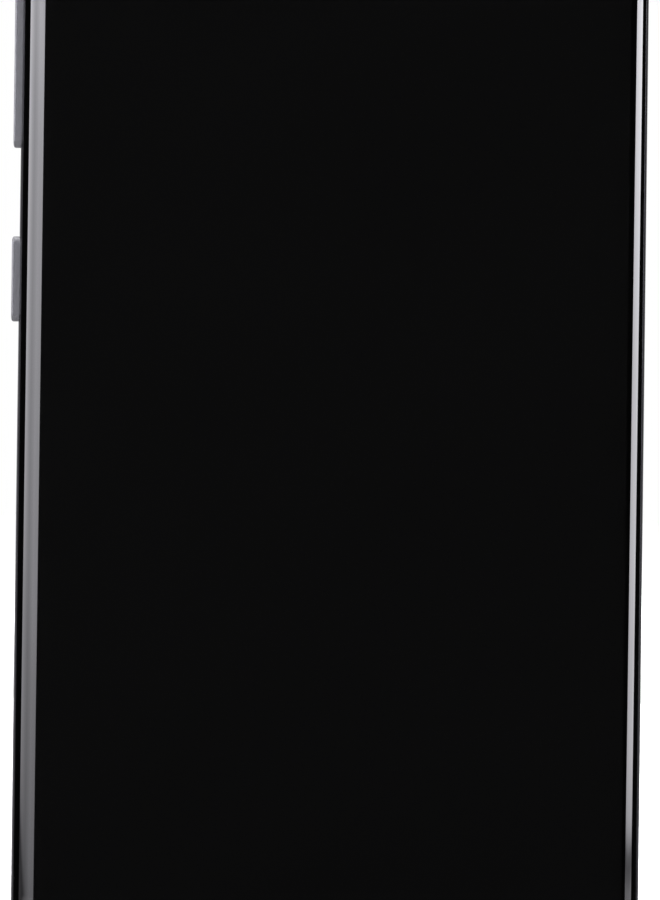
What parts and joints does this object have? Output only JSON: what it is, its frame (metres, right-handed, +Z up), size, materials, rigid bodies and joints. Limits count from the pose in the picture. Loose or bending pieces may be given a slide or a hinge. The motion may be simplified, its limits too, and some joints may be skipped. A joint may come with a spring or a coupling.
{
  "type": "smartphone",
  "caption": "Slim smartphone with glass curved over its long edges, rear camera bump, side keys, card tray and full inner build.",
  "frame": {"origin": "middle of the bottom edge, where the phone stands on it", "axes": "+Z up the phone's length, +Y out of its back, -Y out of the screen, +X to the right as seen from the screen side"},
  "size_m": [0.0715, 0.0087, 0.15],
  "materials": {
    "screen_glass": "polished, over a black display",
    "back_glass": "polished, black ink behind",
    "window_glass": "polished, black ink behind",
    "display_black": "switched-off display",
    "rim_aluminium": "black anodised, glossy",
    "key_aluminium": "dark grey anodised, satin",
    "plate_aluminium": "machined, bead blasted",
    "shield_steel": "rolled sheet",
    "spring_steel": "satin",
    "mesh_steel": "blackened mesh",
    "tungsten": "sintered, matte",
    "copper": "bare copper, satin",
    "board_laminate": "solder mask",
    "flex_film": "polyimide film",
    "black_plastic": "moulded, matte",
    "grey_plastic": "moulded, flush with the metal",
    "rubber_seal": "matte",
    "battery_foil": "laminated pouch under a dark wrap",
    "lens_black": "satin black",
    "clear_plastic": "ribbed diffuser",
    "led_yellow": "phosphor"
  },
  "bodies": {
    "phone_body": {"antenna_coax": "black_plastic", "antenna_strip_bottom_left": "grey_plastic", "antenna_strip_bottom_right": "grey_plastic", "antenna_strip_top_left": "grey_plastic", "antenna_strip_top_right": "grey_plastic", "back_gasket": "rubber_seal", "back_glass": "back_glass", "battery": "battery_foil", "battery_flex": "flex_film", "bottom_microphone": "shield_steel", "bracket_screw_1": "spring_steel", "bracket_screw_2": "spring_steel", "bracket_screw_3": "spring_steel", "bracket_screw_4": "spring_steel", "bracket_screw_5": "spring_steel", "bracket_screw_6": "spring_steel", "camera_island": "key_aluminium", "camera_window": "window_glass", "charging_board": "board_laminate", "cover_glass": "screen_glass", "display_backing_sheet": "copper", "display_flex": "flex_film", "display_gasket": "rubber_seal", "display_panel": "display_black", "earpiece_mesh": "mesh_steel", "earpiece_speaker": "black_plastic", "flash_led": "led_yellow", "flash_lens": "clear_plastic", "front_camera": "lens_black", "interconnect_flex": "flex_film", "loudspeaker": "black_plastic", "loudspeaker_mesh": "mesh_steel", "lower_bracket": "black_plastic", "main_board": "board_laminate", "main_camera_body": "black_plastic", "midplate": "plate_aluminium", "power_shield": "shield_steel", "power_switch": "spring_steel", "processor_shield": "shield_steel", "radio_shield": "shield_steel", "side_frame": "rim_aluminium", "side_key_flex": "flex_film", "sim_reader": "shield_steel", "tele_camera_body": "black_plastic", "top_microphone": "shield_steel", "upper_bracket": "black_plastic", "usb_c_seal": "rubber_seal", "usb_c_shell": "spring_steel", "usb_c_tongue": "black_plastic", "vibrator_case": "spring_steel", "volume_down_switch": "spring_steel", "volume_up_switch": "spring_steel", "wide_camera": "lens_black", "wireless_charging_coil": "copper"},
    "rocker": {"volume_rocker": "key_aluminium"},
    "power": {"power_key": "key_aluminium"},
    "tray": {"sim_tray": "key_aluminium"},
    "main_lens": {"main_lens_barrel": "lens_black"},
    "tele_lens": {"tele_lens_barrel": "lens_black"},
    "vibrator": {"vibrator_mass": "tungsten"}
  },
  "joints": [
    {"name": "rocker_tilt", "type": "hinge", "parent": "phone_body", "child": "rocker", "pos_m": [-0.0353, 0, 0.1118], "axis": [0, 1, 0], "range_deg": [-1, 1], "stiffness_Nm_per_rad": 0.5},
    {"name": "power_press", "type": "slide", "parent": "phone_body", "child": "power", "axis": [1, 0, 0], "range_m": [0, 0.00025], "stiffness_N_per_m": 2000},
    {"name": "tray_slide", "type": "slide", "parent": "phone_body", "child": "tray", "axis": [0, 0, 1], "range_m": [0, 0.0195]},
    {"name": "main_focus", "type": "slide", "parent": "phone_body", "child": "main_lens", "axis": [0, 1, 0], "range_m": [0, 0.0003], "stiffness_N_per_m": 60},
    {"name": "tele_focus", "type": "slide", "parent": "phone_body", "child": "tele_lens", "axis": [0, 1, 0], "range_m": [0, 0.0003], "stiffness_N_per_m": 60},
    {"name": "vibrator_shake", "type": "slide", "parent": "phone_body", "child": "vibrator", "axis": [1, 0, 0], "range_m": [-0.0003, 0.0003], "stiffness_N_per_m": 700}
  ]
}
